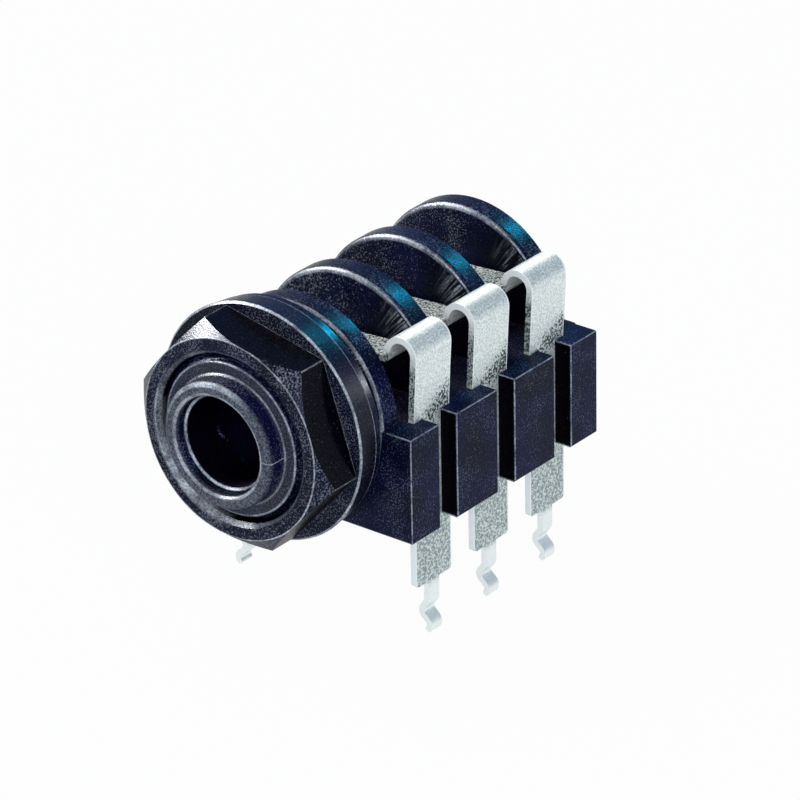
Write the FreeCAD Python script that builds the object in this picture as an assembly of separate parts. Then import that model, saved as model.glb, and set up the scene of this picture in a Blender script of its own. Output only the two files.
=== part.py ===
"""6.35 mm stereo jack socket with switch contacts, for a printed circuit board.

Frame, in millimetres: the plug bore's axis is the Y axis, the plug goes in
towards +Y, +X is the spring contacts' side and +Z is up. The origin is on the
bore's axis, in the front face of the round flange that seats on the panel.
"""
import FreeCAD, Part
import math
import os

Vector = FreeCAD.Vector
AXIS_Y = Vector(0, 1, 0)

# How far a cutter runs past a face, how deep joined forms overlap, and the
# distance within which two places are the same
PAST = 1.0
OVERLAP = 0.5
SAME = 1e-6

# Plug and bore
PLUG_D = 6.35
PLUG_CLEARANCE = 0.075
BORE_R = PLUG_D / 2 + PLUG_CLEARANCE
MOUTH_R = 3.56
MOUTH_DEPTH = 0.80
MOUTH_CHAMFER = 0.14

# Nose and threaded bush
NOSE_R = 4.55
NOSE_END = 8.20
NOSE_EDGE = 0.34
NOSE_FOOT = 0.12
THREAD_R = 5.95
THREAD_END = 6.75
THREAD_CHAMFER = 0.50

# Round flange and guide discs
FLANGE_R = 7.42
FLANGE_T = 1.70
FLANGE_EDGE = 0.40
DISC_R = 7.50
DISC_T = 1.85
DISC_FRONT_EDGE_R = 0.45
REAR_EDGE = 0.14
DISC_FROM_BLOCK = 0.585

# Contact rows
PITCH = 6.35
ROWS = 3
ROW_SPACING = 16.26
FIRST_ROW = 4.04

# Strip stock and its pocket
STRIP_T = 0.45
STRIP_W = 3.85
POCKET_SIDE_CLEARANCE = 0.05
POCKET_FACE_CLEARANCE = 0.05
POCKET_DEPTH = 1.00

# Moulded base with its side blocks
BASE_TOP = 0.00
BASE_BOTTOM = -7.80
BLOCK_OUT = 9.77
BLOCK_EDGE = 0.13
BLOCK_ROOT = 1.0
REAR_BLOCK_T = 3.00

# Tags and board pins
TAG_BOTTOM = -12.40
TAG_CORNER_R = 0.35
PIN_W = 1.10
PIN_STRAIGHT = 1.60
PIN_KINK = 0.86
PIN_TIP = 0.56
PIN_IN = 0.62
PIN_OUT = 0.34
PIN_BEND_R = 0.48
PIN_TIP_EDGE = 0.16

# Spring contact, with a hairpin over the block and an arm across the bore
LEG_LEAN = 0.32
LEG_LEAN_FROM = 0.20
LEG_LEAN_R = 6.0
HAIRPIN_TOP = 5.78
HAIRPIN_R = 1.05
HAIRPIN_FLAT = 0.02
HAIRPIN_SLANT = 64.0
ARM_ROOT_TOP = 3.62
ARM_ROOT_R = 0.90
ARM_W = 2.30
ARM_NECK_Z = 4.66
PRESS_X = 0.60
PRESS_Z = 3.30
PRESS_R = 4.0
ARM_END_Z = 3.40
ARM_END_FROM = -3.30
ARM_END_R = 3.0
ARM_END = -5.10

# Switch contact, whose arm carries the end of the spring contact's arm
SWITCH_LEG_TOP = 1.90
SWITCH_NECK_X = 7.45
SWITCH_BEND_R = 0.95
SWITCH_FLAT_FROM = -5.60
SWITCH_FLAT_R = 1.60
SWITCH_END = -3.90

# Nut and washer
NUT_ACROSS_FLATS = 14.35
NUT_FRONT = -6.90
NUT_REAR = -1.75
NUT_TURN = 48.3
NUT_CHAMFER_ANGLE = 42.0
NUT_HOLE_CHAMFER = 0.32
NUT_FLANGE_R = 8.50
NUT_FLANGE_REAR_R = 8.27
NUT_FLANGE_T = 1.88
NUT_FLANGE_EDGE = 0.14
THREAD_CLEARANCE = 0.05
WASHER_T = 0.70
WASHER_R = 8.15
WASHER_EDGE = 0.10
WASHER_CLEARANCE = 0.25

SPRING_NAMES = ("spring_contact_sleeve", "spring_contact_ring", "spring_contact_tip")
SWITCH_NAMES = ("switch_contact_sleeve", "switch_contact_ring", "switch_contact_tip")


def cylinder(radius, start, end):
    """Cylinder about the bore's axis between two places along Y."""
    return Part.makeCylinder(radius, end - start, Vector(0, start, 0), AXIS_Y)


def box(x, y, z):
    """Box from three (low, high) pairs."""
    size = [high - low for low, high in (x, y, z)]
    return Part.makeBox(*size, Vector(x[0], y[0], z[0]))


def edges_at(shape, test):
    """Edges whose every vertex passes the test."""
    return [e for e in shape.Edges if all(test(v.Point) for v in e.Vertexes)]


def turned(profile):
    """Solid turned about the bore's axis from (radius, y) points."""
    points = [Vector(r, y, 0) for r, y in profile]
    wire = Part.makePolygon(points + points[:1])
    return Part.Face(wire).revolve(Vector(0, 0, 0), AXIS_Y, 360)


def row_y(row):
    """Middle of a contact row along Y."""
    return FIRST_ROW + row * PITCH


def rim_at(shape, y):
    """The round edge of a solid of revolution at a place along Y."""
    return [e for e in shape.Edges if len(e.Vertexes) == 1 and abs(e.Vertexes[0].Y - y) < SAME]


def stepped_rim(radius, face, edge, inward):
    """(radius, y) points that round a rim in two steps, from the face to the side."""
    step = edge * (1 - math.sqrt(0.5))
    return [
        (radius - edge, face),
        (radius - step, face + inward * step),
        (radius, face + inward * edge),
    ]


def flange():
    """Round flange that seats on the panel, rounded in front and broken at the rear."""
    front = stepped_rim(FLANGE_R, 0, FLANGE_EDGE, 1)
    rear = [(FLANGE_R, FLANGE_T - REAR_EDGE), (FLANGE_R - REAR_EDGE, FLANGE_T), (0, FLANGE_T)]
    return turned([(0, 0)] + front + rear)


def guide_disc(start):
    """Guide disc about the bore, well rounded on the plug's side."""
    shape = cylinder(DISC_R, start, start + DISC_T)
    shape = shape.makeFillet(DISC_FRONT_EDGE_R, rim_at(shape, start))
    return shape.makeChamfer(REAR_EDGE, rim_at(shape, start + DISC_T))


def blocks_along_y():
    """(start, end) of the four side blocks of one row, front to rear."""
    strip_front = FIRST_ROW - STRIP_W / 2
    strip_rear = FIRST_ROW + STRIP_W / 2
    reach = POCKET_DEPTH
    ends = [(0, strip_front + reach)]
    for row in range(ROWS - 1):
        shift = row * PITCH
        ends.append((strip_rear - reach + shift, strip_front + reach + PITCH + shift))
    last = strip_rear - reach + (ROWS - 1) * PITCH
    ends.append((last, last + REAR_BLOCK_T))
    return ends


def side_block(side, start, end):
    """One upright side block with its outer edges broken."""
    root = ROW_SPACING / 2 - STRIP_T / 2 - BLOCK_ROOT
    low, high = sorted((side * root, side * BLOCK_OUT))
    block = box((low, high), (start, end), (BASE_BOTTOM, BASE_TOP))
    outer = edges_at(block, lambda p: abs(abs(p.x) - BLOCK_OUT) < SAME)
    top = edges_at(block, lambda p: abs(p.z - BASE_TOP) < SAME and abs(p.x) > root - SAME)
    across = [e for e in top if abs(e.Vertexes[0].X - e.Vertexes[1].X) > BLOCK_EDGE]
    return block.makeChamfer(BLOCK_EDGE, outer + across)


def strip_pocket(side, y_middle):
    """Room for one strip between the base's wall and two neighbouring blocks."""
    inner = ROW_SPACING / 2 - STRIP_T / 2
    outer = inner + STRIP_T + POCKET_FACE_CLEARANCE
    half = STRIP_W / 2 + POCKET_SIDE_CLEARANCE
    low, high = sorted((side * inner, side * outer))
    return box((low, high), (y_middle - half, y_middle + half), (BASE_BOTTOM - PAST, BASE_TOP + PAST))


def bush():
    """Threaded bush with its chamfered end and the raised, rounded nose."""
    nose = stepped_rim(NOSE_R, -NOSE_END, NOSE_EDGE, 1)
    thread = [
        (NOSE_R, -THREAD_END - NOSE_FOOT),
        (NOSE_R + NOSE_FOOT, -THREAD_END),
        (THREAD_R - THREAD_CHAMFER, -THREAD_END),
        (THREAD_R, -THREAD_END + THREAD_CHAMFER),
        (THREAD_R, OVERLAP),
        (0, OVERLAP),
    ]
    return turned([(0, -NOSE_END)] + nose + thread)


def plug_bore(rear):
    """Plug passage: wide mouth, small lead-in and the bore to the rear face."""
    mouth_floor = -NOSE_END + MOUTH_DEPTH
    return turned([
        (0, -NOSE_END - PAST),
        (MOUTH_R + MOUTH_CHAMFER + PAST, -NOSE_END - PAST),
        (MOUTH_R, -NOSE_END + MOUTH_CHAMFER),
        (MOUTH_R, mouth_floor),
        (BORE_R + MOUTH_CHAMFER, mouth_floor),
        (BORE_R, mouth_floor + MOUTH_CHAMFER),
        (BORE_R, rear + PAST),
        (0, rear + PAST),
    ])


def housing():
    """One moulding: bush, flange, guide discs, base, side blocks and bore."""
    blocks = blocks_along_y()
    rear = blocks[-1][1]
    wall = ROW_SPACING / 2 - STRIP_T / 2
    base = box((-wall, wall), (BLOCK_ROOT, rear), (BASE_BOTTOM, BASE_TOP))
    front = box((-BLOCK_OUT, BLOCK_OUT), blocks[0], (BASE_BOTTOM, BASE_TOP))
    broken = edges_at(front, lambda p: abs(abs(p.x) - BLOCK_OUT) < SAME)
    front_top = edges_at(front, lambda p: p.z > BASE_TOP - SAME and p.y < SAME)
    front = front.makeChamfer(BLOCK_EDGE, broken + front_top)
    pieces = [front, bush(), flange()]
    for start, end in blocks[1:]:
        pieces.append(guide_disc(start + DISC_FROM_BLOCK))
        pieces += [side_block(side, start, end) for side in (-1, 1)]
    shape = base.multiFuse(pieces)
    shape = shape.cut(plug_bore(rear))
    pockets = [strip_pocket(side, row_y(row)) for row in range(ROWS) for side in (-1, 1)]
    return shape.cut(Part.makeCompound(pockets)).removeSplitter()


def unit(vector):
    """Vector of length 1 along the given one."""
    return vector * (1 / vector.Length)


def strip_side(path, radii, offset):
    """Edges of one side of a bent strip, a fixed distance left of its middle line.

    The middle line is a chain of straight runs with a bend at each inner
    point. A bend of radius R that turns by an angle A begins R tan(A / 2)
    before its point. Its offset side is an arc about the same centre.
    """
    runs = [unit(b - a) for a, b in zip(path, path[1:])]
    left = [Vector(-run.z, 0, run.x) for run in runs]
    edges = []
    place = path[0] + left[0] * offset
    for i, radius in enumerate(radii):
        before, after = runs[i], runs[i + 1]
        turn = before.getAngle(after)
        run_in = radius * math.tan(turn / 2)
        side = math.copysign(1, before.x * after.z - before.z * after.x)
        start = path[i + 1] - before * run_in
        centre = start + left[i] * (side * radius)
        middle = unit(path[i + 1] - centre)
        reach = radius - side * offset
        first = start + left[i] * offset
        last = path[i + 1] + after * run_in + left[i + 1] * offset
        edges.append(Part.LineSegment(place, first).toShape())
        edges.append(Part.Arc(first, centre + middle * reach, last).toShape())
        place = last
    edges.append(Part.LineSegment(place, path[-1] + left[-1] * offset).toShape())
    return edges


def bent_strip(points, radii, width, y_middle):
    """Strip of constant thickness along (x, z) points, width along Y."""
    path = [Vector(x, y_middle - width / 2, z) for x, z in points]
    one = strip_side(path, radii, STRIP_T / 2)
    other = strip_side(path, radii, -STRIP_T / 2)
    first = Part.LineSegment(other[0].Vertexes[0].Point, one[0].Vertexes[0].Point).toShape()
    last = Part.LineSegment(one[-1].Vertexes[-1].Point, other[-1].Vertexes[-1].Point).toShape()
    wire = Part.Wire(Part.__sortEdges__(one + other + [first, last]))
    return Part.Face(wire).extrude(Vector(0, width, 0))


def tag_and_pin(y_middle):
    """Wide tag under the block and the narrow kinked pin for the board."""
    x = ROW_SPACING / 2
    top = BASE_BOTTOM
    tag = box(
        (x - STRIP_T / 2, x + STRIP_T / 2),
        (y_middle - STRIP_W / 2, y_middle + STRIP_W / 2),
        (TAG_BOTTOM, top),
    )
    low = edges_at(tag, lambda p: abs(p.z - TAG_BOTTOM) < SAME)
    corners = [e for e in low if abs(e.Vertexes[0].X - e.Vertexes[1].X) > STRIP_T / 2]
    tag = tag.makeFillet(TAG_CORNER_R, corners)
    kinks_from = TAG_BOTTOM - PIN_STRAIGHT
    kinks_to = kinks_from - 2 * PIN_KINK
    end = kinks_to - PIN_TIP
    path = [
        (x, TAG_BOTTOM + OVERLAP),
        (x, kinks_from),
        (x - PIN_IN, kinks_from - PIN_KINK),
        (x + PIN_OUT, kinks_to),
        (x, end),
    ]
    pin = bent_strip(path, [PIN_BEND_R] * 3, PIN_W, y_middle)
    tip = edges_at(pin, lambda p: p.z < end + STRIP_T)
    across = [e for e in tip if abs(e.Vertexes[0].Y - e.Vertexes[1].Y) > PIN_W / 2]
    pin = pin.makeFillet(PIN_TIP_EDGE, across)
    return tag.fuse(pin)


def arm_sides(y_middle, neck, run):
    """Two cutters that narrow a strip to the arm's width past a square shoulder.

    The shoulder lies across the strip at the point neck, and run is the
    direction in which the strip goes on from there towards the bore.
    """
    across = Vector(-run.z, 0, run.x) * (4 * STRIP_T)
    low, high = sorted((neck + across, neck - across), key=lambda p: p.z)
    far = -BLOCK_OUT
    outline = [high, low, Vector(low.x, 0, 0), Vector(far, 0, 0), Vector(far, 0, high.z)]
    face = Part.Face(Part.makePolygon(outline + outline[:1]))
    wide = STRIP_W
    cutters = []
    for start in (y_middle + ARM_W / 2, y_middle - ARM_W / 2 - wide):
        moved = face.translated(Vector(0, start, 0))
        cutters.append(moved.extrude(Vector(0, wide, 0)))
    return Part.makeCompound(cutters)


def spring_contact(row):
    """Right-hand contact: pin, tag, leg, hairpin and the arm across the bore."""
    y_middle = row_y(row)
    x = ROW_SPACING / 2
    slant = math.radians(HAIRPIN_SLANT)
    lean = math.atan(LEG_LEAN / (HAIRPIN_TOP - LEG_LEAN_FROM))
    outer_run = HAIRPIN_R * math.tan((math.pi / 2 + lean) / 2)
    inner_run = HAIRPIN_R * math.tan(slant / 2)
    shoulder_x = x + LEG_LEAN - outer_run - HAIRPIN_FLAT - inner_run
    root_x = shoulder_x - (HAIRPIN_TOP - ARM_ROOT_TOP) / math.tan(slant)
    path = [
        (x, BASE_BOTTOM - OVERLAP),
        (x, LEG_LEAN_FROM),
        (x + LEG_LEAN, HAIRPIN_TOP),
        (shoulder_x, HAIRPIN_TOP),
        (root_x, ARM_ROOT_TOP),
        (PRESS_X, PRESS_Z),
        (ARM_END_FROM, ARM_END_Z),
        (ARM_END, ARM_END_Z),
    ]
    radii = [LEG_LEAN_R, HAIRPIN_R, HAIRPIN_R, ARM_ROOT_R, PRESS_R, ARM_END_R]
    strip = bent_strip(path, radii, STRIP_W, y_middle)
    neck = Vector(shoulder_x - (HAIRPIN_TOP - ARM_NECK_Z) / math.tan(slant), 0, ARM_NECK_Z)
    down = Vector(-math.cos(slant), 0, -math.sin(slant))
    strip = strip.cut(arm_sides(y_middle, neck, down))
    return strip.fuse(tag_and_pin(y_middle)).removeSplitter()


def switch_contact(row):
    """Left-hand contact: pin, tag, leg and the arm that meets the spring's arm."""
    y_middle = row_y(row)
    x = ROW_SPACING / 2
    flat = ARM_END_Z - STRIP_T
    path = [
        (-x, BASE_BOTTOM - OVERLAP),
        (-x, SWITCH_LEG_TOP),
        (SWITCH_FLAT_FROM, flat),
        (SWITCH_END, flat),
    ]
    strip = bent_strip(path, [SWITCH_BEND_R, SWITCH_FLAT_R], STRIP_W, y_middle)
    mirror = Vector(1, 0, 0)
    neck = Vector(SWITCH_NECK_X, 0, SWITCH_LEG_TOP)
    sides = arm_sides(y_middle, neck, Vector(-1, 0, 0)).mirror(Vector(0, 0, 0), mirror)
    foot = tag_and_pin(y_middle).mirror(Vector(0, 0, 0), mirror)
    return strip.cut(sides).fuse(foot).removeSplitter()


def hex_nut():
    """Hexagon nut with a tapered round flange, chamfered corners and a plain hole."""
    corner_r = NUT_ACROSS_FLATS / math.sqrt(3)
    corners = []
    for k in range(6):
        angle = math.radians(NUT_TURN + 60 * k)
        corners.append(Vector(corner_r * math.cos(angle), NUT_FRONT, corner_r * math.sin(angle)))
    hexagon = Part.Face(Part.makePolygon(corners + corners[:1]))
    flange_front = NUT_REAR - NUT_FLANGE_T
    prism = hexagon.extrude(Vector(0, flange_front - NUT_FRONT + OVERLAP, 0))
    face_r = NUT_ACROSS_FLATS / 2
    outside = corner_r + PAST
    cone = (outside - face_r) * math.tan(math.radians(NUT_CHAMFER_ANGLE))
    trim = turned([
        (0, NUT_FRONT),
        (face_r, NUT_FRONT),
        (outside, NUT_FRONT + cone),
        (outside, 0),
        (0, 0),
    ])
    rim = turned([
        (0, flange_front),
        (NUT_FLANGE_R - NUT_FLANGE_EDGE, flange_front),
        (NUT_FLANGE_R, flange_front + NUT_FLANGE_EDGE),
        (NUT_FLANGE_REAR_R, NUT_REAR),
        (0, NUT_REAR),
    ])
    hole_r = THREAD_R + THREAD_CLEARANCE
    wide = hole_r + NUT_HOLE_CHAMFER
    hole = turned([
        (0, NUT_FRONT - PAST),
        (wide, NUT_FRONT - PAST),
        (wide, NUT_FRONT),
        (hole_r, NUT_FRONT + NUT_HOLE_CHAMFER),
        (hole_r, NUT_REAR - NUT_HOLE_CHAMFER),
        (wide, NUT_REAR),
        (wide, NUT_REAR + PAST),
        (0, NUT_REAR + PAST),
    ])
    return prism.common(trim).fuse(rim).cut(hole).removeSplitter()


def washer():
    """Thin flat washer against the nut's flange."""
    rear = NUT_REAR + WASHER_T
    ring = cylinder(WASHER_R, NUT_REAR, rear)
    ring = ring.makeChamfer(WASHER_EDGE, rim_at(ring, NUT_REAR) + rim_at(ring, rear))
    return ring.cut(cylinder(THREAD_R + WASHER_CLEARANCE, NUT_REAR - PAST, rear + PAST))


def main():
    """Build every piece and write one STEP file for each."""
    os.makedirs("parts", exist_ok=True)
    pieces = {"housing": housing(), "hex_nut": hex_nut(), "washer": washer()}
    for row in range(ROWS):
        pieces[SPRING_NAMES[row]] = spring_contact(row)
        pieces[SWITCH_NAMES[row]] = switch_contact(row)
    for name, shape in pieces.items():
        solids = shape.Solids
        print(name, "solids", len(solids), "valid", shape.isValid(), "volume", round(shape.Volume, 2))
        solids[0].exportStep("parts/" + name + ".step")


main()
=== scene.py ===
# %% [markdown]
# # A 6.35 mm jack socket for a printed circuit board
#
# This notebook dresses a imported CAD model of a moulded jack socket: a black
# housing with round guide discs, a flanged hex nut, a washer and six bent
# contacts. The CAD gives every shape its place and size in metres, and the
# cells below give it finishes, a camera, light and the small forms that a
# moulder or a toolmaker would add.
#
# The bore's axis is the Y axis, the plug goes towards +Y, and +Z is up.

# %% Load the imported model
import math

import bpy
import numpy as np
from mathutils import Matrix, Vector


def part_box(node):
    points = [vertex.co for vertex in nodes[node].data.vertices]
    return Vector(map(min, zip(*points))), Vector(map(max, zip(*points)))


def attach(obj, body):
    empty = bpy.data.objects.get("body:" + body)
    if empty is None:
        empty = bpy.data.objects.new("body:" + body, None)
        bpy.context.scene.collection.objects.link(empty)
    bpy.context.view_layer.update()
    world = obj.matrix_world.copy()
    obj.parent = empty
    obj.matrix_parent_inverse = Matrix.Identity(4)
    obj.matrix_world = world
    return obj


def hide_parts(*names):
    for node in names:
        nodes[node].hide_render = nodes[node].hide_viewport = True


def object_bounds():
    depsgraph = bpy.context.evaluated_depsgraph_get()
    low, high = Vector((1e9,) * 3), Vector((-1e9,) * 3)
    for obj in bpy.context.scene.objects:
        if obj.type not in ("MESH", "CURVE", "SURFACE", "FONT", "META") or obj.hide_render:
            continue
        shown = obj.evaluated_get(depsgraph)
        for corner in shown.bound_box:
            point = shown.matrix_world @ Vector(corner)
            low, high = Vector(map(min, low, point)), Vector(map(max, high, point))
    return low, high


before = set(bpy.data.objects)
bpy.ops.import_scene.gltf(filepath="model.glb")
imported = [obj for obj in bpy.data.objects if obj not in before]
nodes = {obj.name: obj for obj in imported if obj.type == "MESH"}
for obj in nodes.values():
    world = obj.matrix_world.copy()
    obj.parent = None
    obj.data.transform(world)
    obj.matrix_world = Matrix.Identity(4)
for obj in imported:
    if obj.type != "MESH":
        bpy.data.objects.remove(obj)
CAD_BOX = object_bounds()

MM = 0.001
scene = bpy.context.scene
print("nodes:", sorted(nodes))
print("box of the CAD model:", CAD_BOX)

# %% [markdown]
# ## Camera
#
# A product photograph like this one is taken from far away with a long lens,
# so that parallel edges stay nearly parallel. The camera is described the way
# a photographer would: how far it has walked round the object, how high it
# stands, how much it is tilted, its lens, and which pixel shows the origin.

# %% Place the camera
AZIMUTH = math.radians(38.5)
ELEVATION = math.radians(26.63)
ROLL = math.radians(-1.06)
LENS_MM = 270.0
SENSOR_MM = 36.0
IMAGE = 800
ORIGIN_PIXEL = (295.0, 401.9)
ORIGIN_DEPTH = 399.2 * MM


def place_camera():
    """Camera whose origin pixel and depth fix where it stands.

    back points from the object to the camera; right and up span the image.
    A roll turns right and up about back. The camera stands so that the origin
    lies at the given depth and falls on the given pixel.
    """
    sin_a, cos_a = math.sin(AZIMUTH), math.cos(AZIMUTH)
    sin_e, cos_e = math.sin(ELEVATION), math.cos(ELEVATION)
    back = Vector((sin_a * cos_e, -cos_a * cos_e, sin_e))
    right = Vector((cos_a, sin_a, 0.0))
    up = back.cross(right)
    across = right * math.cos(ROLL) + up * math.sin(ROLL)
    upward = up * math.cos(ROLL) - right * math.sin(ROLL)
    focal = IMAGE * LENS_MM / SENSOR_MM
    u = (ORIGIN_PIXEL[0] - IMAGE / 2) / focal * ORIGIN_DEPTH
    v = (ORIGIN_PIXEL[1] - IMAGE / 2) / focal * ORIGIN_DEPTH
    place = back * ORIGIN_DEPTH - across * u + upward * v
    data = bpy.data.cameras.new("camera")
    data.lens = LENS_MM
    data.sensor_width = SENSOR_MM
    data.clip_start = 0.01
    data.clip_end = 20.0
    camera = bpy.data.objects.new("camera", data)
    scene.collection.objects.link(camera)
    turn = Matrix((across, upward, back)).transposed().to_4x4()
    camera.matrix_world = Matrix.Translation(place) @ turn
    scene.camera = camera
    return camera


camera = place_camera()
print("camera at", [round(c, 4) for c in camera.matrix_world.translation])

# %% [markdown]
# ## Small helpers for shader nodes
#
# A material is a graph of nodes. These helpers add a node, set its inputs and
# join it in one line each, so that the cells below read like a recipe.

# %% Node helpers
FLOAT = "NodeSocketFloat"
MIX_FACTOR, MIX_A, MIX_B, MIX_RESULT = 0, 6, 7, 2


def fill(tree, socket, value):
    """Join an output socket to an input, or store a plain value in it."""
    if isinstance(value, bpy.types.NodeSocket):
        tree.links.new(value, socket)
    else:
        socket.default_value = value


def add(tree, kind, inputs=None, **settings):
    """New node with its settings and inputs; an input is a value or a socket."""
    made = tree.nodes.new(kind)
    for name, value in settings.items():
        setattr(made, name, value)
    for key, value in (inputs or {}).items():
        fill(tree, made.inputs[key], value)
    return made


def math_node(tree, operation, a, b=0.0):
    """Output of a math node on two values."""
    return add(tree, "ShaderNodeMath", {0: a, 1: b}, operation=operation).outputs[0]


def product(tree, result, *others):
    """Product of several values."""
    for other in others:
        result = math_node(tree, "MULTIPLY", result, other)
    return result


def distance(tree, a, b):
    """How far apart two values are, with no sign."""
    return math_node(tree, "ABSOLUTE", math_node(tree, "SUBTRACT", a, b))


def length(tree, a, b):
    """Root of a squared plus b squared."""
    both = add(tree, "ShaderNodeCombineXYZ", {"X": a, "Y": b}).outputs[0]
    return add(tree, "ShaderNodeVectorMath", {0: both}, operation="LENGTH").outputs["Value"]


def remap(tree, value, low, high, to_low=0.0, to_high=1.0):
    """Value moved linearly from one range to another and held inside it."""
    inputs = {"Value": value, "From Min": low, "From Max": high,
              "To Min": to_low, "To Max": to_high}
    return add(tree, "ShaderNodeMapRange", inputs).outputs["Result"]


def noise(tree, place, scale, detail):
    """Fractal noise between 0 and 1, mostly near a half."""
    inputs = {"Vector": place, "Scale": scale, "Detail": detail}
    return add(tree, "ShaderNodeTexNoise", inputs).outputs[0]


def mix_colour(tree, factor, a, b):
    """Colour between a and b, where each is a triple or a socket."""
    made = add(tree, "ShaderNodeMix", data_type="RGBA")
    for place, value in ((MIX_FACTOR, factor), (MIX_A, a), (MIX_B, b)):
        fill(tree, made.inputs[place], (*value, 1) if isinstance(value, tuple) else value)
    return made.outputs[MIX_RESULT]


def object_place(tree):
    """The point in Object coordinates, in metres."""
    return add(tree, "ShaderNodeTexCoord").outputs["Object"]


def object_xyz(tree):
    """The point's x, y and z in Object coordinates."""
    return add(tree, "ShaderNodeSeparateXYZ", {0: object_place(tree)}).outputs[:3]


def new_group(name, inputs, outputs):
    """Empty node group with named numbers going in and coming out."""
    tree = bpy.data.node_groups.new(name, "ShaderNodeTree")
    for label, value in inputs.items():
        socket = tree.interface.new_socket(label, in_out="INPUT", socket_type=FLOAT)
        socket.default_value = value
    for label in outputs:
        tree.interface.new_socket(label, in_out="OUTPUT", socket_type=FLOAT)
    given = tree.nodes.new("NodeGroupInput").outputs
    return tree, given, tree.nodes.new("NodeGroupOutput").inputs


def grouped(tree, group, inputs=None):
    """Outputs of a node group placed in a material."""
    made = tree.nodes.new("ShaderNodeGroup")
    made.node_tree = group
    for key, value in (inputs or {}).items():
        fill(tree, made.inputs[key], value)
    return made.outputs


def new_material(name):
    """New material with its node tree and its Principled shader."""
    material = bpy.data.materials.new(name)
    material.use_nodes = True
    return material, material.node_tree, material.node_tree.nodes["Principled BSDF"]


# %% [markdown]
# ## Sizes from the frame
#
# A pattern that follows the object's form has to know where the form is. The
# boxes of the CAD nodes give most of it: the rows of contacts, the width of
# the strip, the front of the nut. What a box can't give, such as the radius
# of a rim inside another, is written here as a size.

# %% Measure the nodes
spring_boxes = [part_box("spring_contact_" + pole) for pole in ("sleeve", "ring", "tip")]
row_middles = sorted((low[1] + high[1]) / 2 for low, high in spring_boxes)
PITCH = row_middles[1] - row_middles[0]
STRIP_W = spring_boxes[0][1][1] - spring_boxes[0][0][1]
housing_low, housing_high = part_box("housing")
nut_low, nut_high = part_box("hex_nut")
washer_low, washer_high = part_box("washer")
NOSE_END = housing_low[1]
BLOCK_OUT = housing_high[0]
BASE_REAR = housing_high[1]
DISC_R = housing_high[2]
NUT_FRONT = nut_low[1]
NUT_REAR = nut_high[1]
NUT_FLANGE_R = nut_high[2]
NUT_FLANGE_REAR_R = nut_high[0] - 0.25 * MM
BASE_TOP = 0.0
BASE_BOTTOM = -7.80 * MM
BLOCK_ROOT = 7.70 * MM
POCKET_DEPTH = 1.00 * MM
DISC_FRONT = 5.55 * MM
NOSE_R = 4.55 * MM
MOUTH_R = 3.56 * MM
BORE_R = 3.25 * MM
MOUTH_FLOOR = NOSE_END + 0.80 * MM
THREAD_CREST = 5.95 * MM
THREAD_END = -6.75 * MM
CHAMFER_R = THREAD_CREST - 0.50 * MM
NUT_FACE_R = 7.175 * MM
NUT_CORNER_R = 8.285 * MM
NUT_FLANGE_FRONT = -3.63 * MM
NUT_HOLE_R = 6.00 * MM
print("rows at", [round(y / MM, 2) for y in row_middles], "mm; pitch", round(PITCH / MM, 3))

# %% [markdown]
# ## Moulded grain
#
# Moulded plastic is never a mirror. The steel of the mould leaves a fine
# grain, cooling leaves slow waves in the gloss, and handling leaves a dust of
# pale grains that gathers in patches. A photograph of a surface could be
# wrapped round each piece, but noise in three dimensions needs no unwrapping
# and has no seams. All of it is worked out from Object coordinates in metres,
# so a grain of a tenth of a millimetre has a scale of ten thousand.

# %% Build the moulded grain group
WAVES_PER_METRE = 260.0
PATCHES_PER_METRE = 420.0


def build_moulded_grain():
    """Group that puts out a slow wave, a fine grain and patches of pale dust.

    The dust is the part of a fine noise above a level, and a slow noise
    lowers that level in patches, so that grains crowd there.
    """
    tree, given, out = new_group(
        "moulded grain", {"Grain per metre": 9000.0, "Dust": 0.5}, ["Wave", "Grain", "Dust"])
    place = object_place(tree)
    scale = given["Grain per metre"]
    patch = noise(tree, place, PATCHES_PER_METRE, 3.0)
    crowd = product(tree, remap(tree, patch, 0.36, 0.64, 0.50, 1.0), given["Dust"])
    level = remap(tree, crowd, 0.0, 1.0, 0.76, 0.46)
    above = math_node(tree, "SUBTRACT", noise(tree, place, scale, 1.0), level)
    tree.links.new(noise(tree, place, WAVES_PER_METRE, 2.0), out["Wave"])
    tree.links.new(noise(tree, place, scale, 3.0), out["Grain"])
    tree.links.new(remap(tree, above, -0.01, 0.20), out["Dust"])
    return tree


moulded_grain = build_moulded_grain()
print("group:", moulded_grain.name)

# %% [markdown]
# ## Lines along the edges
#
# Every edge of a moulding is pale from wear and a little rounded, and a camera
# with a small lamp sees it as a thin broken line of light. The lines could be
# modelled as bevels that catch the lamps, but they are a tenth of a millimetre
# wide, so the shader paints them, wear and highlight in one, from how far a
# point is from the edge. Five groups put out such masks: a line round a rim,
# the straight edges of the side blocks, the ridge that the mould's halves leave
# on the nose, a window that keeps part of a rim, where a painted highlight or
# the lit side of the discs lies, and fine streaks on the right of the discs'
# faces, which are a painted reflection.

# %% Build the edge groups
STREAK_ANGLE = math.radians(46)
STREAKS_PER_RADIAN = 42.0
STREAKS_OUTWARD = 420.0
STREAKS_ALONG = 300.0


def build_rim_line():
    """Mask of a thin line round the bore's axis.

    With r the distance from the Y axis and a the distance along it from the
    rim, the line is where the root of (r - radius) squared plus a squared is
    less than its width.
    """
    tree, given, out = new_group(
        "rim line", {"Along": 0.0, "Radius": 0.007, "Width": 0.0001}, ["Mask"])
    x, _, z = object_xyz(tree)
    off = math_node(tree, "SUBTRACT", length(tree, x, z), given["Radius"])
    share = math_node(tree, "DIVIDE", length(tree, off, given["Along"]), given["Width"])
    tree.links.new(remap(tree, share, 0.55, 1.0, 1.0, 0.0), out["Mask"])
    return tree


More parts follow.
